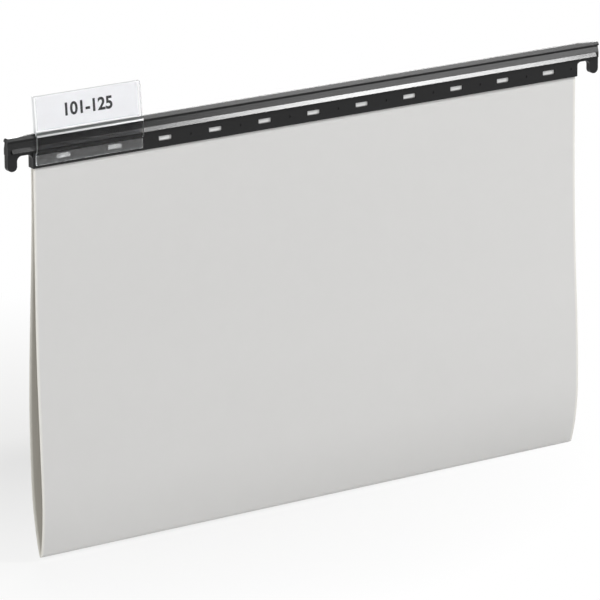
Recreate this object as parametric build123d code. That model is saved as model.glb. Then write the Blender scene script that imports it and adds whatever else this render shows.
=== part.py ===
from build123d import *

import os
from math import atan, cos, degrees, radians, sin, tan

# Hanging file for foolscap papers: a folded card pocket between two moulded
# hanging rails, with a clear index tab clipped to the front rail.
# X runs along the rails, the front faces -Y, Z points up, and the origin is
# below the middle of the fold, at its lowest line. Sizes are in millimetres.

# Card sheet: front and rear panel, joined by the fold along the bottom
card_width = 372.0
card_thickness = 0.5
pocket_height = 227.0       # from the fold's underside to the rails' lower edge
belly_height = 42.0         # fullest part of the pocket, above the fold's underside
sway_height = 95.0          # where a panel's bulge turns into the hollow above it
fold_half_angle = 25.5      # lean of each panel where it leaves the fold, degrees
fold_gap = 0.15             # half of the slit between the two panels inside the fold
card_lap = 9.2              # card that goes up behind the rail's flange
card_inset = 0.85           # from the middle plane to the card, behind the flange

# Hanging rail: one section along its length, and a hook at each end
rail_height = 19.5
rail_gap = 0.3              # between the two rails when the file is closed
card_clearance = 0.05       # between the card and the flange that it lies on
card_top_clearance = 0.3    # between the card's top edge and the web above it
card_side_clearance = 0.2   # between the card's side edge and the flange's end wall
flange_thickness = 1.1
shoulder_underside = 10.2   # height of the shoulder over the rail's lower edge
shoulder_lip = 0.35         # upright strip along the shoulder's front
shoulder_rise = 2.1         # the bevel from the lip up to the upper face
shoulder_overhang = 1.2     # the shoulder in front of the flange
shoulder_setback = 0.3      # the foot of the upper face behind the flange's front
shoulder_stop = 2.4         # the shoulder's end, short of the rail's
bead_width = 2.2            # the bevelled bead along the top
bead_height = 2.8
bead_top = 0.95             # flat strip along the bead's top
bead_lip = 0.7              # upright strip along the bead's front
groove_depth = 0.9          # the groove under the bead
groove_width = 0.8
small_round = 0.25          # the moulding's other edges

# Hooks, which hang on the cabinet's two bars
end_wall = 0.6              # closes the flange's end, beside the card's edge
notch_width = 9.7           # gap that takes the cabinet's bar
notch_round = 3.0
seat_height = 8.3           # the notch's upper face, over the rail's lower edge
nose_width = 6.0
nose_round = 2.8
hook_thickness = 1.6
hook_drop = 0.6             # the hook's top, below the bead's, with a slope over the notch
end_round = 0.8             # the rail's upper corners, seen from the front

# Slots for the tab, and the stakes that hold the card, along the flange
slot_count = 11
slot_margin = 19.4          # from the flange's left end to the middle of the first slot
slot_end_margin = 21.0      # from the middle of the last slot to the flange's right end
slot_length = 8.8
slot_width = 2.7
stake_margin = 5.0          # from the flange's end to the outermost stake
stake_sides = 8             # the stakes, their heads and holes are octagons
stake_radius = 1.2
stake_clearance = 0.2       # round the stake, in the card's hole
stake_head_radius = 2.1
stake_head_thickness = 0.5
sink_radius = 0.75          # dimple in the flange's front, over each stake
sink_depth = 0.4

# Index tab: clear plastic, with a foot on the flange and a pocket above the rail
tab_width = 69.0
tab_wall = 0.9
tab_rise = 20.5             # the tab's top over the rail's top
tab_slant = 34.0            # of the steps that take the tab round the shoulder, degrees
tab_lean = 5.5              # lean of the pocket towards the back, degrees
tab_foot_lift = 1.7         # the foot's lower edge over the rail's lower edge
tab_seat_gap = 0.1          # between the foot and the flange
tab_pass_gap = 0.25         # round the shoulder, which the tab passes in front of
tab_top_gap = 0.4           # between the pocket's underside and the rail's top
tab_floor = 1.0             # solid strip under the label
tab_side = 1.6              # solid strip at each end of the label
lug_clearance = 0.3         # round each lug, in its slot
lug_tip_gap = 0.2           # between the lug's end and the flange's back

# Label: a slip of white paper in the tab's pocket
label_thickness = 0.25
label_clearance = 0.15      # in front of the label and behind it
label_end_clearance = 0.3   # at each end of the label
label_top_gap = 0.7         # the label's top edge below the tab's

# Across the rail, measured forward from the middle plane
rail_inner = rail_gap / 2
card_middle = card_inset + card_thickness / 2
flange_back = card_inset + card_thickness + card_clearance
flange_front = flange_back + flange_thickness
shoulder_front = flange_front + shoulder_overhang
bead_front = rail_inner + bead_width
bead_bottom = rail_height - bead_height
shoulder_top = shoulder_underside + shoulder_lip + shoulder_rise
web_bottom = card_lap + card_top_clearance
flange_middle = shoulder_underside / 2

# Along the rail, measured from its middle
flange_half = card_width / 2 + card_side_clearance + end_wall
rail_half = flange_half + notch_width + nose_width
slot_pitch = (2 * flange_half - slot_margin - slot_end_margin) / (slot_count - 1)
slot_places = [slot_margin - flange_half + i * slot_pitch for i in range(slot_count)]
stake_places = [x + slot_pitch / 2 for x in slot_places[:-1]]
stake_places += [side * (flange_half - stake_margin) for side in (-1, 1)]

# The panel's curve: three arcs, upright at the belly and at the rail
fold_axis_height = card_thickness / 2
fold_angle = radians(fold_half_angle)
belly_depth = (belly_height - fold_axis_height) * tan(fold_angle / 2)
low_radius = (belly_height - fold_axis_height) / sin(fold_angle)
sway_angle = 2 * atan((belly_depth - card_middle) / (pocket_height - belly_height))
middle_radius = (sway_height - belly_height) / sin(sway_angle)
upper_radius = (pocket_height - sway_height) / sin(sway_angle)
rear_trim = (card_thickness / 2 * cos(fold_angle) + fold_gap) / sin(fold_angle)

# The tab, from its foot up
tab_place = (slot_places[0] + slot_places[1]) / 2
foot_back = flange_front + tab_seat_gap
pass_back = shoulder_front + tab_pass_gap
jog_top = shoulder_underside - tab_pass_gap
slant = radians(tab_slant)
lean = radians(tab_lean)
jog_bottom = jog_top - (pass_back - foot_back) / tan(slant)
bend_back = bead_front + tab_pass_gap
step_height = rail_height - (pass_back - bend_back) / tan(slant)
label_room = label_thickness + 2 * label_clearance
pocket_depth = label_room + tab_wall
floor_bottom = (tab_top_gap + pocket_depth * sin(lean)) / cos(lean)
floor_top = floor_bottom + tab_floor
tab_length = tab_rise / cos(lean)

# Sections are drawn forward and up, the card's from the ground and the others' from the rail
card_plane = Plane(origin=(0, 0, 0), x_dir=(0, -1, 0), z_dir=(-1, 0, 0))
rail_plane = Plane(origin=(0, 0, pocket_height), x_dir=(0, -1, 0), z_dir=(-1, 0, 0))
front_view = Plane(origin=(0, 0, pocket_height), x_dir=(1, 0, 0), z_dir=(0, -1, 0))
label_plane = Plane(
    origin=(tab_place, -bend_back, pocket_height + rail_height),
    x_dir=(1, 0, 0),
    z_dir=(0, -cos(lean), sin(lean)),
)


def along_x(section, half_length):
    """Extrude a section both ways from the middle of the file."""
    return extrude(section, amount=half_length, both=True)


def block(low, high):
    """A box between two corners."""
    return Pos(*low) * Box(*(h - l for l, h in zip(low, high)), align=(Align.MIN,) * 3)


def panel_edge(offset, trim):
    """One face of the card in section: the fold's end, the belly, the hollow and the lap."""
    start = fold_half_angle - degrees(trim / low_radius)
    top = pocket_height + card_lap
    return [
        CenterArc((belly_depth - low_radius, belly_height), low_radius + offset, -start, start),
        CenterArc(
            (belly_depth - middle_radius, belly_height),
            middle_radius + offset, 0, degrees(sway_angle),
        ),
        CenterArc(
            (card_middle + upper_radius, pocket_height),
            upper_radius - offset, 180 + degrees(sway_angle), -degrees(sway_angle),
        ),
        Line((card_middle + offset, pocket_height), (card_middle + offset, top)),
    ]


def card_panel(trim, round_end):
    """A panel of the card with its stake holes, curved as the front one."""
    outer = panel_edge(card_thickness / 2, trim)
    inner = panel_edge(-card_thickness / 2, trim)
    ends = [Line(outer[0] @ 0, inner[0] @ 0), Line(outer[-1] @ 1, inner[-1] @ 1)]
    section = make_face(outer + inner + ends)
    if round_end:
        section += Pos(0, fold_axis_height) * Circle(card_thickness / 2)
    panel = along_x(card_plane * section, card_width / 2)
    hole = RegularPolygon(stake_radius + stake_clearance, stake_sides)
    holes = Sketch() + [Pos(x, flange_middle) * hole for x in stake_places]
    return panel - extrude(front_view * holes, amount=flange_back)


def upper_section():
    """The rail above the flange: bevelled bead, groove, sloping face and bevelled shoulder."""
    corners = [
        ((rail_inner, web_bottom), 0),
        ((rail_inner, rail_height), small_round),
        ((rail_inner + bead_top, rail_height), small_round),
        ((bead_front, bead_bottom + bead_lip), small_round),
        ((bead_front, bead_bottom), small_round),
        ((bead_front - groove_depth, bead_bottom), 0),
        ((bead_front - groove_depth, bead_bottom - groove_width), small_round),
        ((flange_front - shoulder_setback, shoulder_top), small_round),
        ((shoulder_front, shoulder_underside + shoulder_lip), small_round),
        ((shoulder_front, shoulder_underside), 0),
        ((flange_front, shoulder_underside), 0),
        ((flange_front, web_bottom), 0),
    ]
    points = [point for point, radius in corners]
    radii = [radius for point, radius in corners]
    return make_face(FilletPolyline(*points, radius=radii, close=True))


def rail_outline():
    """The rail seen from the front: hooks, notches and the flange's lower edge."""
    nose_inner = rail_half - nose_width
    right = [
        ((flange_half, rail_height), 0),
        ((nose_inner, rail_height - hook_drop), 0),
        ((rail_half, rail_height - hook_drop), end_round),
        ((rail_half, 0), nose_round),
        ((nose_inner, 0), nose_round),
        ((nose_inner, seat_height), notch_round),
        ((flange_half, seat_height), notch_round),
        ((flange_half, 0), small_round),
    ]
    left = [((-x, z), radius) for (x, z), radius in reversed(right)]
    points = [point for point, radius in right + left]
    radii = [radius for point, radius in right + left]
    return make_face(FilletPolyline(*points, radius=radii, close=True))


def stake(x):
    """A stake on the flange's back, through the card, with its flattened head."""
    head_front = card_inset - card_clearance
    place = front_view.offset(head_front) * Pos(x, flange_middle)
    shank = RegularPolygon(stake_radius, stake_sides)
    head = RegularPolygon(stake_head_radius, stake_sides)
    through = flange_back - head_front + flange_thickness / 4
    return extrude(place * shank, amount=through) + extrude(place * head, amount=-stake_head_thickness)


def hanging_rail():
    """The front rail, cut to its outline, slotted and staked."""
    bar = along_x(rail_plane * upper_section(), rail_half)
    flange = block(
        (-flange_half, -flange_front, pocket_height),
        (flange_half, -flange_back, pocket_height + web_bottom + card_top_clearance),
    )
    rail = bar + flange
    for side in (-1, 1):
        reach = sorted((side * (flange_half - end_wall), side * rail_half))
        rail += block(
            (reach[0], -rail_inner - hook_thickness, pocket_height),
            (reach[1], -rail_inner, pocket_height + web_bottom + card_top_clearance),
        )
        reach = sorted((side * (rail_half - shoulder_stop), side * rail_half))
        rail -= block(
            (reach[0], -shoulder_front, pocket_height),
            (reach[1], shoulder_setback - flange_front, pocket_height + shoulder_top),
        )
    rail &= extrude(front_view * rail_outline(), amount=shoulder_front)

    slot = Rectangle(slot_length, slot_width)
    slots = Sketch() + [Pos(x, flange_middle) * slot for x in slot_places]
    rail -= extrude(front_view * slots, amount=shoulder_front)
    sink = RegularPolygon(sink_radius, stake_sides)
    sinks = Sketch() + [Pos(x, flange_middle) * sink for x in stake_places]
    sink_floor = front_view.offset(flange_front - sink_depth)
    rail -= extrude(sink_floor * sinks, amount=shoulder_overhang)
    for x in stake_places:
        rail += stake(x)
    return rail


def tab_strip():
    """The tab's front wall in section: foot, two slanting steps round the shoulder, leaning front."""
    step = tab_wall * tan(slant / 2)
    turn = tab_wall * tan((slant - lean) / 2)
    top_back = (bend_back - tab_length * sin(lean), rail_height + tab_rise)
    top_front = (top_back[0] + tab_wall * cos(lean), top_back[1] + tab_wall * sin(lean))
    bend_front = (
        bend_back + tab_wall * cos(lean) - turn * sin(lean),
        rail_height + tab_wall * sin(lean) + turn * cos(lean),
    )
    return make_face(Polyline(
        (foot_back, tab_foot_lift),
        (foot_back, jog_bottom),
        (pass_back, jog_top),
        (pass_back, step_height),
        (bend_back, rail_height),
        top_back,
        top_front,
        bend_front,
        (pass_back + tab_wall, step_height + step),
        (pass_back + tab_wall, jog_top - step),
        (foot_back + tab_wall, jog_bottom - step),
        (foot_back + tab_wall, tab_foot_lift),
        close=True,
    ))


def index_tab():
    """The clear tab: front wall, label pocket open at the top, and two lugs in the slots."""
    half = tab_width / 2
    tab = Pos(tab_place, 0, 0) * along_x(rail_plane * tab_strip(), half)
    pocket = block((-half, floor_bottom, -pocket_depth), (half, tab_length, 0))
    room = block(
        (tab_side - half, floor_top, -label_room),
        (half - tab_side, tab_length + tab_rise, 0),
    )
    tab += label_plane * (pocket - room)
    lug_half = slot_length / 2 - lug_clearance
    lug_rise = slot_width / 2 - lug_clearance
    for x in slot_places[:2]:
        tab += block(
            (x - lug_half, -foot_back, pocket_height + flange_middle - lug_rise),
            (x + lug_half, -flange_back - lug_tip_gap, pocket_height + flange_middle + lug_rise),
        )
    return tab


def label_insert():
    """The paper slip, standing on the floor of the tab's pocket."""
    half = tab_width / 2 - tab_side - label_end_clearance
    slip = block(
        (-half, floor_top, -label_room + label_clearance),
        (half, tab_length - label_top_gap, -label_clearance),
    )
    return label_plane * slip


front_rail = hanging_rail()
nodes = {
    "front_panel": card_panel(0, True),
    "rear_panel": mirror(card_panel(rear_trim, False), Plane.XZ),
    "front_rail": front_rail,
    "rear_rail": mirror(front_rail, Plane.XZ),
    "index_tab": index_tab(),
    "label_insert": label_insert(),
}

os.makedirs("parts", exist_ok=True)
for name, shape in nodes.items():
    export_step(shape, f"parts/{name}.step")
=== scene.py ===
"""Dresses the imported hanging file: card pocket, black rails, clear tab, paper label and a plain studio."""

from math import atan, copysign, cos, exp, pi, radians, sin, tan

import bmesh
import bpy
from bpy.props import (
    FloatProperty,
    FloatVectorProperty,
    IntProperty,
    PointerProperty,
    StringProperty,
)
from mathutils import Matrix, Vector


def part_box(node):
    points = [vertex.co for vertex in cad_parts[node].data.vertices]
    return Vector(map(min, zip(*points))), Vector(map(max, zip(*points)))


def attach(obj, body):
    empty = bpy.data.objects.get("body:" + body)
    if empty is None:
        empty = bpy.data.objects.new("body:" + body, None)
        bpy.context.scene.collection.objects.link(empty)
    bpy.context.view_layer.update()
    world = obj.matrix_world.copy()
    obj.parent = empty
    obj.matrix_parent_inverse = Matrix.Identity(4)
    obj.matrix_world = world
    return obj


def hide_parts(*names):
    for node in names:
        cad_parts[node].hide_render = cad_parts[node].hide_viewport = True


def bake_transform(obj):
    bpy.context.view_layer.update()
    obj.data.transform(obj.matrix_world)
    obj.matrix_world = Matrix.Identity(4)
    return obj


bl_info = {
    "name": "Hanging file",
    "version": (1, 0, 0),
    "blender": (4, 5, 0),
    "location": "View3D > Sidebar > Hanging file",
    "description": "Builds the looks of a foolscap hanging file over its packed frame",
    "category": "Object",
}

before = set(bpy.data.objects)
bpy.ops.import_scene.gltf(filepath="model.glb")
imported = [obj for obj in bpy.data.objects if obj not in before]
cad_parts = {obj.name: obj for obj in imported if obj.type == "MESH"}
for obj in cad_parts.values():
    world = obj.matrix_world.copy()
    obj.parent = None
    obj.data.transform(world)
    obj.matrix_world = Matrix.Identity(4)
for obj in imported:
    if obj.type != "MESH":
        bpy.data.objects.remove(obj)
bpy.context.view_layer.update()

panel_low, panel_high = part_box("front_panel")
rail_low, rail_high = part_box("front_rail")
tab_low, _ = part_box("index_tab")
label_low, label_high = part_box("label_insert")

# Meshes
weld_distance = 2e-6          # corners of the CAD triangles that are closer than this become one
flat_limit = radians(0.5)     # triangles that turn less than this become one face
hard_edge = radians(40)       # least turn of an edge that is rounded and shaded as a sharp one
tab_hard_edge = radians(20)   # the same on the tab, whose bends are shallow
row_gathering = 1.6           # power that gathers the card's rows at the crease
slip_divisions = (24, 8)      # of the label, across and up
halvings = 40                 # steps of the search for a panel's length

# Finishes
clear_index = 1.49            # refraction of the clear plastic
pale_index = 1.15             # refraction where the tab mirrors little of the floor
paper_gloss = 0.3
rail_gloss = 0.22
roughness_spread = 0.08       # of paper, on either side of its mean
rim_highlight_peak = 0.3              # part of the card's edge strip, at the very edge, where the painted rim highlight is strongest
side_facing = 0.7             # least sideways part of a normal on the tab's side edges
bend_facing = 0.4             # least forward and upward parts of a normal on the tab's bends
bold_share = 0.03             # weight added to the printed number, as a share of its size


def length(name, description, default):
    """A property that holds a length in metres."""
    return FloatProperty(
        name=name, description=description, default=default, precision=5,
        subtype="DISTANCE", unit="LENGTH",
    )


def angle(name, description, degrees):
    """A property that holds an angle."""
    return FloatProperty(
        name=name, description=description, default=radians(degrees), subtype="ANGLE", unit="ROTATION",
    )


def share(name, description, default):
    """A property that holds a share of a whole."""
    return FloatProperty(
        name=name, description=description, default=default, min=0.0, max=1.0, subtype="FACTOR",
    )


def place(name, description, default):
    """A property that holds a point in the file's frame."""
    return FloatVectorProperty(
        name=name, description=description, default=default, precision=4,
        subtype="TRANSLATION", unit="LENGTH",
    )


def colour(name, description, default):
    """A property that holds a linear colour."""
    return FloatVectorProperty(
        name=name, description=description, default=(*default, 1.0), size=4, min=0.0, max=1.0,
        subtype="COLOR",
    )


class CardSettings(bpy.types.PropertyGroup):
    """The folded sheet of card"""
    thickness: length("Thickness", "Thickness of the card", 0.0005)
    lap: length("Lap", "Card that goes up behind the rail's flange", 0.0092)
    lap_depth: length("Lap depth", "Card's middle from the middle plane, behind the flange", 0.0011)
    belly_height: length("Belly height", "Height of the pocket's fullest part", 0.042)
    sway_height: length("Sway height", "Height where the bulge turns into the hollow", 0.095)
    fold_angle: angle("Fold angle", "Lean of each panel where it leaves the fold", 25.5)
    fold_turn: length(
        "Fold turn", "Card on each side of the middle plane that bends as the pocket opens", 0.0002,
    )
    tip_width: length("Tip width", "How far the fold's round tip pushes each panel out", 0.0012)
    tip_run: length("Tip run", "Card on each side of the fold that is bent by its round tip", 0.0006)
    left_set_back: length("Left set back", "How far the pocket hangs back at the left edge", 0.0034)
    right_set_back: length("Right set back", "How far the pocket hangs back at the right edge", 0.0012)
    left_fullness: share(
        "Left fullness", "Share of its depth that the belly keeps at the left edge", 0.6,
    )
    right_fullness: share(
        "Right fullness", "Share of its depth that the belly keeps at the right edge", 0.86,
    )
    across: IntProperty(name="Across", description="Divisions along the fold", default=48, min=4)
    around: IntProperty(
        name="Around", description="Divisions from one top edge to the other", default=150, min=20,
    )
    face_colour: colour("Face colour", "Pale grey of the card", (0.668, 0.664, 0.657))
    # Painted shade: the inside gets a darker, warmer grey than the face, for the shade inside the pocket
    inside_shade_colour: colour("Inside colour", "Card's other side, painted darker and warmer as the shade inside the pocket", (0.52, 0.497, 0.447))
    # Painted light: the lap is paler than the face, so the card in the flange's slots looks brighter than
    # their shade allows
    lap_lit_colour: colour(
        "Lap colour", "Card behind the rail's flange, painted paler against the shade in its slots", (0.90, 0.90, 0.90),
    )
    # The cut edges get their own lighter pulp; the strip beside them is a painted highlight along the rim
    edge_colour: colour("Edge colour", "Lighter pulp at the card's cut edges, also painted beside them as a rim highlight", (0.88, 0.86, 0.80))
    edge_strip: length("Edge strip", "Strip beside the cut edges, painted paler as a highlight along the rim", 0.0018)


class RailSettings(bpy.types.PropertyGroup):
    """The two moulded rails"""
    edge_round: length("Edge round", "Round on the moulding's sharp edges", 0.00012)
    plastic_colour: colour("Plastic colour", "Black of the moulded plastic", (0.011, 0.011, 0.0115))


class TabSettings(bpy.types.PropertyGroup):
    """The clear index tab"""
    edge_round: length("Edge round", "Round on the tab's edges", 0.00012)
    foot_height: length("Foot height", "Top of the hazy foot over its lower edge", 0.0056)
    clear_colour: colour("Clear colour", "Tint of the clear plastic", (0.968, 0.970, 0.978))
    foot_colour: colour("Foot colour", "Tint of the hazy foot", (0.90, 0.91, 0.91))
    edge_colour: colour("Edge colour", "Tint of the frosted side edges", (0.90, 0.91, 0.92))
    # The ledge's dark line is painted: it stands in for the black rail seen through the moulding's edge
    ledge_drop: length("Ledge drop", "Lower edge of the ledge's dark line below the rail's top", 0.0008)
    ledge_rise: length("Ledge rise", "Upper edge of the ledge's dark line over the rail's top", 0.0006)
    ledge_dark_paint: colour("Ledge colour", "Painted dark line on the ledge under the label, for the black rail seen through it", (0.16, 0.17, 0.17))


class LabelSettings(bpy.types.PropertyGroup):
    """The paper slip in the tab"""
    lean: angle("Lean", "Lean of the label towards the back", 5.5)
    bow: length("Bow", "How far the slip bows forward in the middle", 0.00006)
    number: StringProperty(name="Number", description="Plain number printed on the slip", default="101-125")
    digit_height: length("Digit height", "Size of the printed number", 0.0098)
    print_lift: length("Print lift", "Ink above the paper", 0.00002)
    paper_colour: colour("Paper colour", "White of the slip", (0.92, 0.92, 0.93))
    ink_colour: colour("Ink colour", "Black of the print", (0.012, 0.012, 0.014))


class StageSettings(bpy.types.PropertyGroup):
    """Floor, light and camera"""
    floor_drop: length("Floor drop", "Floor below the fold", 0.002)
    floor_size: length("Floor size", "Width of the floor", 14.0)
    floor_colour: colour("Floor colour", "Pale floor", (0.70, 0.70, 0.69))
    shadow_place: place("Shadow place", "Middle of the shadow on the floor", (-0.09, 0.17, 0.0))
    shadow_reach: length(
        "Shadow reach", "Distance from the shadow's middle at which the floor is white", 0.34,
    )
    shadow_white: share("Shadow white", "Share of white in the middle of the shadow", 0.52)
    room_level: FloatProperty(name="Room level", description="Brightness of the room", default=0.2, min=0.0)
    camera_place: place("Camera place", "Where the camera stands", (-1.50996, -2.24425, 0.91375))
    camera_yaw: angle("Camera yaw", "Turn of the view towards the right", 33.7698)
    camera_pitch: angle("Camera pitch", "Dip of the view", 16.3512)
    camera_roll: angle("Camera roll", "Roll of the view", -0.2916)
    camera_lens: FloatProperty(name="Camera lens", description="Focal length in millimetres", default=293.47)
    film_width: FloatProperty(
        name="Film width", description="Width of the camera's film in millimetres", default=36.0,
    )


class Nodes:
    """Adds nodes and links to a node tree."""

    def __init__(self, tree):
        self.tree = tree
        tree.nodes.clear()

    def add(self, kind, inputs=None, **options):
        """A node with its options, constants and links set."""
        node = self.tree.nodes.new(kind)
        for key, value in options.items():
            setattr(node, key, value)
        for key, value in (inputs or {}).items():
            if isinstance(value, bpy.types.NodeSocket):
                self.tree.links.new(value, node.inputs[key])
            else:
                node.inputs[key].default_value = value
        return node

    def noise(self, vector, scale, detail=2.0, roughness=0.5):
        """Noise of a scale in features per metre, from 0 to 1."""
        node = self.add(
            "ShaderNodeTexNoise",
            {"Vector": vector, "Scale": scale, "Detail": detail, "Roughness": roughness},
        )
        return node.outputs["Fac"]

    def drawn_noise(self, vector, features, detail, roughness):
        """Noise with its own number of features per metre along each axis."""
        squeezed = self.add("ShaderNodeMapping", {"Vector": vector, "Scale": features}).outputs["Vector"]
        return self.noise(squeezed, 1.0, detail, roughness)

    def remap(self, value, low, high):
        """A value from 0 to 1 spread from low to high."""
        node = self.add("ShaderNodeMapRange", {"Value": value, "To Min": low, "To Max": high})
        return node.outputs["Result"]

    def mix(self, factor, first, second):
        """A colour between two others, which are a Mix node's inputs 6 and 7 and its output 2."""
        return self.add("ShaderNodeMix", {0: factor, 6: first, 7: second}, data_type="RGBA").outputs[2]

    def math(self, operation, first, second):
        """One step of arithmetic on two values."""
        return self.add("ShaderNodeMath", {0: first, 1: second}, operation=operation).outputs[0]


def node_group(name, outputs):
    """An empty shader group with a Vector input and named value outputs."""
    group = bpy.data.node_groups.new(name, "ShaderNodeTree")
    group.interface.new_socket("Vector", in_out="INPUT", socket_type="NodeSocketVector")
    for output in outputs:
        group.interface.new_socket(output, in_out="OUTPUT", socket_type="NodeSocketFloat")
    nodes = Nodes(group)
    vector = nodes.add("NodeGroupInput").outputs["Vector"]
    return group, nodes, vector


def pulp_group():
    """Paper pulp: short fibres in two directions, and clouds where the pulp lies thicker."""
    group, nodes, vector = node_group("pulp", ("Fibre", "Cloud"))
    lengthwise, crosswise = 900, 2600
    level = nodes.drawn_noise(vector, (lengthwise, crosswise, crosswise), detail=3.0, roughness=0.6)
    upright = nodes.drawn_noise(vector, (crosswise, crosswise, lengthwise), detail=3.0, roughness=0.6)
    fibre = nodes.math("MULTIPLY", nodes.math("ADD", level, upright), 0.5)
    cloud = nodes.noise(vector, 85.0, detail=4.0, roughness=0.55)
    nodes.add("NodeGroupOutput", {"Fibre": fibre, "Cloud": cloud})
    return group


def moulded_group():
    """Moulded plastic: a fine spark-eroded grain, and a slow change of gloss along the flow."""
    group, nodes, vector = node_group("moulded", ("Grain", "Flow"))
    grain = nodes.noise(vector, 3800.0)
    flow = nodes.drawn_noise(vector, (18, 160, 160), detail=3.0, roughness=0.55)
    nodes.add("NodeGroupOutput", {"Grain": grain, "Flow": flow})
    return group


def shared_group(name, build):
    """A shared effect, built the first time that it is asked for."""
    return bpy.data.node_groups.get(name) or build()


def new_material(name):
    """A material with its coordinates, surface shader and output in place."""
    material = bpy.data.materials.new(name)
    material.use_nodes = True
    nodes = Nodes(material.node_tree)
    vector = nodes.add("ShaderNodeTexCoord").outputs["Object"]
    surface = nodes.add("ShaderNodeBsdfPrincipled")
    nodes.add("ShaderNodeOutputMaterial", {"Surface": surface.outputs["BSDF"]})
    return material, nodes, vector, surface


def effect(nodes, group, vector):
    """A shared effect placed in a material."""
    return nodes.add("ShaderNodeGroup", {"Vector": vector}, node_tree=group).outputs


def connect(nodes, surface, **links):
    """Link values into a surface shader, by socket name with _ for a space."""
    for name, socket in links.items():
        nodes.tree.links.new(socket, surface.inputs[name.replace("_", " ")])


def overlay(nodes, factor, surface, shader):
    """Put another shader over a material's surface, by a factor from 0 to 1."""
    both = nodes.add("ShaderNodeMixShader", {0: factor, 1: surface.outputs["BSDF"], 2: shader.outputs[0]})
    output = next(node for node in nodes.tree.nodes if node.type == "OUTPUT_MATERIAL")
    nodes.tree.links.new(both.outputs[0], output.inputs["Surface"])


def bump(nodes, height, distance, strength):
    """A normal from a height."""
    return nodes.add(
        "ShaderNodeBump", {"Height": height, "Distance": distance, "Strength": strength},
    ).outputs["Normal"]


def shade(rgba, factor):
    """A colour made lighter or darker."""
    return (rgba[0] * factor, rgba[1] * factor, rgba[2] * factor, 1.0)


def varied(nodes, factor, rgba, darker, lighter):
    """A colour that goes from a darker to a lighter shade with a factor."""
    return nodes.mix(factor, shade(rgba, darker), shade(rgba, lighter))


def paper_material(name, rgba, contrast, roughness, relief, strip=None):
    """Uncoated card or paper; a strip is its inner and outer place across, its colour and its share."""
    material, nodes, vector, surface = new_material(name)
    pulp = effect(nodes, shared_group("pulp", pulp_group), vector)
    clouded = varied(nodes, pulp["Cloud"], rgba, 1 - contrast, 1 + contrast)
    fibrous = varied(nodes, pulp["Fibre"], rgba, 1 - contrast, 1 + contrast)
    tint = nodes.mix(0.5, clouded, fibrous)
    if strip:
        inner, outer, pale, most = strip
        across = nodes.add("ShaderNodeSeparateXYZ", {"Vector": vector}).outputs["X"]
        away = nodes.math("ABSOLUTE", across, 0.0)
        beside = nodes.add(
            "ShaderNodeMapRange", {"Value": away, "From Min": inner, "From Max": outer, "To Max": most},
        )
        tint = nodes.mix(beside.outputs["Result"], tint, pale)
    connect(
        nodes, surface,
        Base_Color=tint,
        Roughness=nodes.remap(pulp["Fibre"], roughness - roughness_spread, roughness + roughness_spread),
        Normal=bump(nodes, pulp["Fibre"], relief, strength=0.35),
    )
    surface.inputs["Specular IOR Level"].default_value = paper_gloss
    return material


def plastic_material(rgba):
    """Black moulded plastic with a satin gloss."""
    material, nodes, vector, surface = new_material("rail_plastic_black")
    moulded = effect(nodes, shared_group("moulded", moulded_group), vector)
    connect(
        nodes, surface,
        Base_Color=varied(nodes, moulded["Flow"], rgba, darker=0.8, lighter=1.25),
        Roughness=nodes.remap(moulded["Flow"], low=0.15, high=0.21),
        Normal=bump(nodes, moulded["Grain"], distance=0.00002, strength=0.2),
    )
    surface.inputs["Specular IOR Level"].default_value = rail_gloss
    return material


def clear_material(name, rgba, smooth, hazy, clear=1.0, gloss=1.0, passing=0.5, bending=clear_index):
    """Clear plastic whose roughness goes from smooth to hazy, and whose shadow lets some light pass."""
    material, nodes, vector, surface = new_material(name)
    moulded = effect(nodes, shared_group("moulded", moulded_group), vector)
    connect(
        nodes, surface,
        Base_Color=varied(nodes, moulded["Flow"], rgba, darker=0.99, lighter=1.01),
        Roughness=nodes.remap(moulded["Flow"], smooth, hazy),
        Normal=bump(nodes, moulded["Flow"], distance=0.00002, strength=0.1),
    )
    surface.inputs["Transmission Weight"].default_value = clear
    surface.inputs["IOR"].default_value = bending
    surface.inputs["Specular Tint"].default_value = (gloss, gloss, gloss, 1.0)
    shadow = nodes.add("ShaderNodeLightPath").outputs["Is Shadow Ray"]
    through = nodes.add("ShaderNodeBsdfTransparent", {"Color": shade(rgba, passing)})
    overlay(nodes, shadow, surface, through)
    return material


def new_piece(name, bm, *materials):
    """An object at the origin from a bmesh, which is freed."""
    mesh = bpy.data.meshes.new(name)
    bm.to_mesh(mesh)
    bm.free()
    piece = bpy.data.objects.new(name, mesh)
    bpy.context.scene.collection.objects.link(piece)
    for material in materials:
        mesh.materials.append(material)
    return piece


def thicken(piece, thickness):
    """A wall, half of it on each side of a sheet."""
    wall = piece.modifiers.new("thickness", "SOLIDIFY")
    wall.thickness = thickness
    wall.offset = 0.0
    return wall


def apply_modifiers(piece):
    """Make what the modifiers show the piece's own mesh."""
    evaluated = piece.evaluated_get(bpy.context.evaluated_depsgraph_get())
    mesh = bpy.data.meshes.new_from_object(evaluated)
    piece.modifiers.clear()
    piece.data = mesh
    mesh.set_sharp_from_angle(angle=hard_edge)


def flatten(piece):
    """Keep the flat faces between the rounds flat in the shading."""
    flat = piece.modifiers.new("flat_faces", "WEIGHTED_NORMAL")
    flat.keep_sharp = True


def merged_copy(node):
    """A bmesh of a CAD node with its triangles joined and its flat faces whole."""
    bm = bmesh.new()
    bm.from_mesh(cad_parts[node].data)
    bmesh.ops.remove_doubles(bm, verts=bm.verts, dist=weld_distance)
    bmesh.ops.dissolve_limit(bm, angle_limit=flat_limit, verts=bm.verts, edges=bm.edges)
    bmesh.ops.recalc_face_normals(bm, faces=bm.faces)
    return bm


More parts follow.
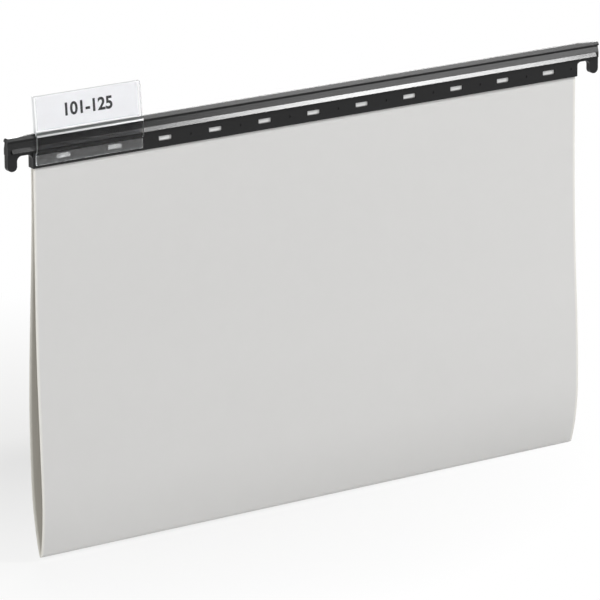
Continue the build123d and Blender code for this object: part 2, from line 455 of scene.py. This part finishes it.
def soften(bm, width, least_turn):
    """Round the sharp edges a little and shade the rest smooth."""
    sharp = [e for e in bm.edges if e.is_manifold and e.calc_face_angle() > least_turn]
    bmesh.ops.bevel(
        bm, geom=sharp, offset=width, offset_type="OFFSET", segments=2, profile=0.5, affect="EDGES",
        clamp_overlap=True, material=-1,
    )
    for face in bm.faces:
        face.smooth = True
    for edge in bm.edges:
        edge.smooth = not edge.is_manifold or edge.calc_face_angle() < least_turn


def panel_line(card, run):
    """Depth from the middle plane and height of the card's middle, at a run from the crease."""
    rail_edge = panel_high.z - card.lap
    start = card.thickness / 2
    rise = card.belly_height - start
    low_radius = rise / sin(card.fold_angle)
    belly_depth = rise * tan(card.fold_angle / 2)
    sway = 2 * atan((belly_depth - card.lap_depth) / (rail_edge - card.belly_height))
    middle_radius = (card.sway_height - card.belly_height) / sin(sway)
    upper_radius = (rail_edge - card.sway_height) / sin(sway)
    low_run = low_radius * card.fold_angle
    middle_run = low_run + middle_radius * sway
    upper_run = middle_run + upper_radius * sway
    if run < low_run:
        turn = card.fold_angle - run / low_radius
        tip = card.tip_width * (1 - exp(-run / card.tip_run)) * (1 - run / low_run) ** 2
        return tip + belly_depth - low_radius * (1 - cos(turn)), card.belly_height - low_radius * sin(turn)
    if run < middle_run:
        turn = (run - low_run) / middle_radius
        return belly_depth - middle_radius * (1 - cos(turn)), card.belly_height + middle_radius * sin(turn)
    if run < upper_run:
        turn = sway - (run - middle_run) / upper_radius
        return card.lap_depth + upper_radius * (1 - cos(turn)), rail_edge - upper_radius * sin(turn)
    return card.lap_depth, rail_edge + run - upper_run


def panel_run(card):
    """Length of one panel from the crease to its top edge."""
    low, high = 0.0, 2 * panel_high.z
    for _ in range(halvings):
        middle = (low + high) / 2
        if panel_line(card, middle)[1] < panel_high.z:
            low = middle
        else:
            high = middle
    return low


def along(first, last, x):
    """A value that runs evenly from the card's left edge to its right one."""
    return first + (last - first) * (x - panel_low.x) / (panel_high.x - panel_low.x)


def upper_fade(card, z, start):
    """1 up to a height, and from there down to 0 at the rail's lower edge."""
    rise = (z - start) / (panel_high.z - card.lap - start)
    return cos(pi / 2 * min(max(rise, 0.0), 1.0)) ** 2


def hung(card, x, z, depth, side):
    """Place of the card on one side of the pocket, which hangs back and is less full towards the left."""
    slack = (1 - along(card.left_fullness, card.right_fullness, x)) * upper_fade(card, z, card.belly_height)
    half = depth * (1 - slack)
    most = along(card.left_set_back, card.right_set_back, x)
    back = most * sin(pi / 2 * min(z / card.sway_height, 1.0)) * upper_fade(card, z, card.sway_height)
    room = half - card.fold_turn - card.thickness / 2
    return side * half + min(back, max(room, 0.0))


class HANGINGFILE_OT_card_sheet(bpy.types.Operator):
    """Fold one flat sheet of card into the pocket"""
    bl_idname = "hanging_file.card_sheet"
    bl_label = "Card sheet"

    def execute(self, context):
        card = context.scene.hanging_card
        # Slots of the outer finishes; each is followed by those of the cut edge and the inside
        face_slot, lap_slot = 0, 3
        edge_step, inside_step = 1, 2
        half = (panel_high.x - panel_low.x) / 2
        reach = panel_run(card)
        lap_start = rail_low.z + card.lap / 4
        bm = bmesh.new()
        bmesh.ops.create_grid(bm, x_segments=card.across, y_segments=card.around, size=1.0)
        for vert in bm.verts:
            run = reach * abs(vert.co.y) ** row_gathering
            depth, height = panel_line(card, run)
            x = vert.co.x * half
            side = copysign(1.0, -vert.co.y) if vert.co.y else 0.0
            vert.co = (x, hung(card, x, height, depth, side), height)
        for face in bm.faces:
            face.smooth = True
            face.material_index = lap_slot if face.calc_center_median().z > lap_start else face_slot
        # Painted highlight: a paler strip beside the side edges, part way on the face and fully on the
        # inside
        rim_highlight = (half - card.edge_strip, half - rim_highlight_peak * card.edge_strip, card.edge_colour)
        outside = {"contrast": 0.022, "roughness": 0.62, "relief": 0.00006}
        face_material = paper_material("card_grey", card.face_colour, **outside, strip=(*rim_highlight, 0.6))
        edge_material = paper_material(
            "card_cut_edge", card.edge_colour, contrast=0.05, roughness=0.8, relief=0.0001,
        )
        # Painted shade: the pocket's inside gets a darker, warmer grey for its shade
        inside_material = paper_material(
            "card_inside_painted_shade", card.inside_shade_colour, contrast=0.03, roughness=0.7, relief=0.00006,
            strip=(*rim_highlight, 1.0),
        )
        # Painted light on the lap, against the shade in the flange's slots
        lap_material = paper_material("card_lap_painted_light", card.lap_lit_colour, **outside)
        sheet = new_piece(
            "card_sheet", bm,
            face_material, edge_material, inside_material, lap_material, edge_material, inside_material,
        )
        wall = thicken(sheet, card.thickness)
        wall.use_even_offset = True
        wall.material_offset_rim = edge_step
        wall.material_offset = inside_step
        apply_modifiers(sheet)
        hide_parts("front_panel", "rear_panel")
        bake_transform(sheet)
        return {"FINISHED"}


class HANGINGFILE_OT_rails(bpy.types.Operator):
    """Finish the two moulded rails, with rounded edges and a satin black plastic"""
    bl_idname = "hanging_file.rails"
    bl_label = "Hanging rails"

    def execute(self, context):
        rail = context.scene.hanging_rail
        material = plastic_material(rail.plastic_colour)
        for node, body in (("front_rail", "front_half"), ("rear_rail", "rear_half")):
            bm = merged_copy(node)
            soften(bm, rail.edge_round, hard_edge)
            piece = new_piece(node + "_moulding", bm, material)
            flatten(piece)
            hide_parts(node)
            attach(piece, body)
        return {"FINISHED"}


class HANGINGFILE_OT_index_tab(bpy.types.Operator):
    """Finish the clear tab: hazy foot, frosted side edges, painted dark line on the ledge under the label"""
    bl_idname = "hanging_file.index_tab"
    bl_label = "Index tab"

    def execute(self, context):
        tab = context.scene.hanging_tab
        # Slots of the finishes, in the order in which the piece gets them
        window, foot, side_edge, bend, wall, ledge = range(6)
        bm = merged_copy("index_tab")
        soften(bm, tab.edge_round, tab_hard_edge)
        foot_top = tab_low.z + tab.foot_height
        ledge_low = rail_high.z - tab.ledge_drop
        ledge_high = rail_high.z + tab.ledge_rise
        for cut in (foot_top, ledge_low, ledge_high):
            bmesh.ops.bisect_plane(
                bm, geom=[*bm.verts, *bm.edges, *bm.faces], plane_co=(0, 0, cut), plane_no=(0, 0, 1),
            )
        bm.normal_update()
        for face in bm.faces:
            height = face.calc_center_median().z
            if height < foot_top:
                face.material_index = foot
            elif abs(face.normal.x) > side_facing:
                face.material_index = side_edge
            elif height > ledge_high:
                face.material_index = window
            elif height > ledge_low:
                face.material_index = ledge
            elif face.normal.z > bend_facing and face.normal.y < -bend_facing:
                face.material_index = bend
            else:
                face.material_index = wall
        frost = tab.edge_colour
        # Painted shade: the wall's tint is darkened so the rail seen through it, under the bend, looks
        # darker
        wall_shade_tint = shade(tab.clear_colour, 0.68)
        piece = new_piece(
            "index_tab_clear", bm,
            clear_material("tab_window", tab.clear_colour, smooth=0.05, hazy=0.09, gloss=0.35, passing=0.6),
            clear_material("tab_foot_hazy", tab.foot_colour, smooth=0.34, hazy=0.46),
            clear_material("tab_edge_frosted", frost, smooth=0.4, hazy=0.6, clear=0.8, bending=pale_index),
            # The bend is hazy, and its diffuse share also makes a pale bar along it as a painted highlight
            clear_material("tab_bend_hazy_highlight", frost, smooth=0.13, hazy=0.17, clear=0.55),
            clear_material("tab_wall", wall_shade_tint, smooth=0.05, hazy=0.09, bending=pale_index),
            # Painted dark line on the ledge, for the black rail seen through the moulding's edge
            clear_material("tab_ledge_painted_dark", tab.ledge_dark_paint, smooth=0.25, hazy=0.35, clear=0.6, gloss=0.1),
        )
        flatten(piece)
        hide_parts("index_tab")
        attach(piece, "tab")
        return {"FINISHED"}


class HANGINGFILE_OT_label(bpy.types.Operator):
    """Put the paper slip in the tab, with a plain number printed on it"""
    bl_idname = "hanging_file.label"
    bl_label = "Label"

    def execute(self, context):
        label = context.scene.hanging_label
        stand = Matrix.Rotation(radians(90) - label.lean, 4, "X")
        middle = (label_low + label_high) / 2
        to_place = Matrix.Translation(middle) @ stand
        half = (label_high.x - label_low.x) / 2
        rise = (label_high.z - label_low.z) / 2 / cos(label.lean)
        thickness = ((label_high.y - label_low.y) - 2 * rise * sin(label.lean)) / cos(label.lean)

        bm = bmesh.new()
        across, up = slip_divisions
        bmesh.ops.create_grid(bm, x_segments=across, y_segments=up, size=1.0)
        for vert in bm.verts:
            vert.co = (vert.co.x * half, vert.co.y * rise, label.bow * (1 - vert.co.x ** 2))
        bmesh.ops.transform(bm, matrix=to_place, verts=bm.verts)
        for face in bm.faces:
            face.smooth = True
        paper = paper_material(
            "label_paper", label.paper_colour, contrast=0.015, roughness=0.7, relief=0.00003,
        )
        slip = new_piece("label_slip", bm, paper)
        thicken(slip, thickness)
        apply_modifiers(slip)
        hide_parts("label_insert")
        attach(slip, "label")

        curve = bpy.data.curves.new("number", "FONT")
        curve.body = label.number
        curve.size = label.digit_height
        curve.align_x = "CENTER"
        curve.align_y = "CENTER"
        curve.offset = label.digit_height * bold_share
        text = bpy.data.objects.new("number", curve)
        context.scene.collection.objects.link(text)
        mesh = bpy.data.meshes.new_from_object(text.evaluated_get(context.evaluated_depsgraph_get()))
        bpy.data.objects.remove(text)
        bm = bmesh.new()
        bm.from_mesh(mesh)
        lift = thickness / 2 + label.bow + label.print_lift
        bmesh.ops.translate(bm, vec=(0, 0, lift), verts=bm.verts)
        bmesh.ops.transform(bm, matrix=to_place, verts=bm.verts)
        ink = paper_material("label_ink", label.ink_colour, contrast=0.2, roughness=0.5, relief=0.00001)
        number = new_piece("label_number", bm, ink)
        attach(number, "label")
        return {"FINISHED"}


def add_lamp(name, at, towards, size, power, roll):
    """A soft rectangular lamp."""
    data = bpy.data.lights.new(name, "AREA")
    data.shape = "RECTANGLE"
    data.size, data.size_y = size
    data.energy = power
    lamp = bpy.data.objects.new(name, data)
    facing = (Vector(towards) - Vector(at)).to_track_quat("-Z", "Y").to_matrix().to_4x4()
    lamp.matrix_world = Matrix.Translation(at) @ facing @ Matrix.Rotation(roll, 4, "Z")
    bpy.context.scene.collection.objects.link(lamp)


def seen_by_view(nodes):
    """1 for rays that show the surroundings: seen directly, mirrored or through clear plastic."""
    path = nodes.add("ShaderNodeLightPath").outputs
    seen = nodes.math("MAXIMUM", path["Is Camera Ray"], path["Is Glossy Ray"])
    seen = nodes.math("MAXIMUM", seen, path["Is Transmission Ray"])
    before_diffuse = nodes.math("LESS_THAN", path["Diffuse Depth"], 0.5)
    return nodes.math("MULTIPLY", seen, before_diffuse)


def floor_material(stage):
    """Pale floor that keeps the file's shadow around a place and fades to white further off."""
    material, nodes, vector, surface = new_material("floor_pale")
    speck = nodes.noise(vector, 400.0)
    connect(nodes, surface, Base_Color=varied(nodes, speck, stage.floor_colour, darker=0.995, lighter=1.005))
    surface.inputs["Roughness"].default_value = 0.9
    surface.inputs["Specular IOR Level"].default_value = 0.0
    away = nodes.add("ShaderNodeVectorMath", {0: vector, 1: stage.shadow_place}, operation="DISTANCE")
    white = nodes.add(
        "ShaderNodeMapRange",
        {"Value": away.outputs["Value"], "From Max": stage.shadow_reach, "To Min": stage.shadow_white},
    )
    factor = nodes.math("MULTIPLY", seen_by_view(nodes), white.outputs["Result"])
    glow = nodes.add("ShaderNodeEmission", {"Color": (1, 1, 1, 1), "Strength": 1.0})
    overlay(nodes, factor, surface, glow)
    return material


class HANGINGFILE_OT_stage(bpy.types.Operator):
    """Set up the floor, the studio light and the camera"""
    bl_idname = "hanging_file.stage"
    bl_label = "Stage"

    def execute(self, context):
        scene = context.scene
        stage = scene.hanging_stage
        scene.view_settings.view_transform = "Standard"

        bm = bmesh.new()
        bmesh.ops.create_grid(bm, x_segments=1, y_segments=1, size=stage.floor_size / 2)
        bmesh.ops.translate(bm, vec=(0, 0, -stage.floor_drop), verts=bm.verts)
        floor = new_piece("floor", bm, floor_material(stage))

        world = bpy.data.worlds.new("studio")
        world.use_nodes = True
        nodes = Nodes(world.node_tree)
        strength = nodes.remap(seen_by_view(nodes), stage.room_level, 1.0)
        background = nodes.add("ShaderNodeBackground", {"Color": (1, 1, 1, 1), "Strength": strength})
        nodes.add("ShaderNodeOutputWorld", {"Surface": background.outputs[0]})
        scene.world = world

        # Name, place, spot that it faces, width and height, watts and roll of each lamp.
        # The first four face a spot on the front rail, to the right of its middle.
        rail_spot = Vector((0.09, rail_low.y, rail_high.z))
        slant = radians(-38)
        lamps = (
            ("key_top_right", (1.297, -1.073, 1.734), rail_spot, (0.36, 0.22), 18.5, slant),
            ("kick_tab", (1.075, -1.174, 1.711), rail_spot, (0.1, 0.1), 2.0, 0.0),
            ("strip_bead", (1.27, -1.302, 1.534), rail_spot, (0.7, 0.1), 3.0, slant),
            ("strip_front_right", (1.12, -1.25, 0.445), rail_spot, (0.75, 0.12), 3.0, 0.0),
            ("fill_left", (-1.9, -1.4, 1.5), (0, 0, 0.2), (1.4, 1.0), 38.0, 0.0),
            ("fill_back", (1.3, 2.2, 1.3), (0, 0, 0.12), (1.4, 1.0), 36.0, 0.0),
        )
        for lamp in lamps:
            add_lamp(*lamp)

        right = Vector((cos(stage.camera_yaw), -sin(stage.camera_yaw), 0))
        forward = Vector((
            sin(stage.camera_yaw) * cos(stage.camera_pitch),
            cos(stage.camera_yaw) * cos(stage.camera_pitch),
            -sin(stage.camera_pitch),
        ))
        facing = Matrix((right, right.cross(forward), -forward)).transposed()
        data = bpy.data.cameras.new("view")
        data.lens = stage.camera_lens
        data.sensor_width = stage.film_width
        camera = bpy.data.objects.new("view", data)
        turned = facing @ Matrix.Rotation(stage.camera_roll, 3, "Z")
        camera.matrix_world = Matrix.Translation(stage.camera_place) @ turned.to_4x4()
        scene.collection.objects.link(camera)
        scene.camera = camera
        return {"FINISHED"}


class HANGINGFILE_PT_sidebar(bpy.types.Panel):
    """Lists the file's pieces and its stage"""
    bl_idname = "HANGINGFILE_PT_sidebar"
    bl_label = "Hanging file"
    bl_space_type = "VIEW_3D"
    bl_region_type = "UI"
    bl_category = "Hanging file"

    def draw(self, context):
        for operator in operators:
            self.layout.operator(operator.bl_idname)


operators = (
    HANGINGFILE_OT_card_sheet,
    HANGINGFILE_OT_rails,
    HANGINGFILE_OT_index_tab,
    HANGINGFILE_OT_label,
    HANGINGFILE_OT_stage,
)
settings = {
    "hanging_card": CardSettings,
    "hanging_rail": RailSettings,
    "hanging_tab": TabSettings,
    "hanging_label": LabelSettings,
    "hanging_stage": StageSettings,
}
classes = (*settings.values(), *operators, HANGINGFILE_PT_sidebar)


def register():
    """Register the classes and hang the settings on the scene."""
    for cls in classes:
        bpy.utils.register_class(cls)
    for name, cls in settings.items():
        setattr(bpy.types.Scene, name, PointerProperty(type=cls))


def unregister():
    """Undo register."""
    for name in settings:
        delattr(bpy.types.Scene, name)
    for cls in reversed(classes):
        bpy.utils.unregister_class(cls)


def main():
    """Build every piece in order."""
    register()
    bpy.ops.hanging_file.card_sheet()
    bpy.ops.hanging_file.rails()
    bpy.ops.hanging_file.index_tab()
    bpy.ops.hanging_file.label()
    bpy.ops.hanging_file.stage()


if __name__ == "__main__":
    main()
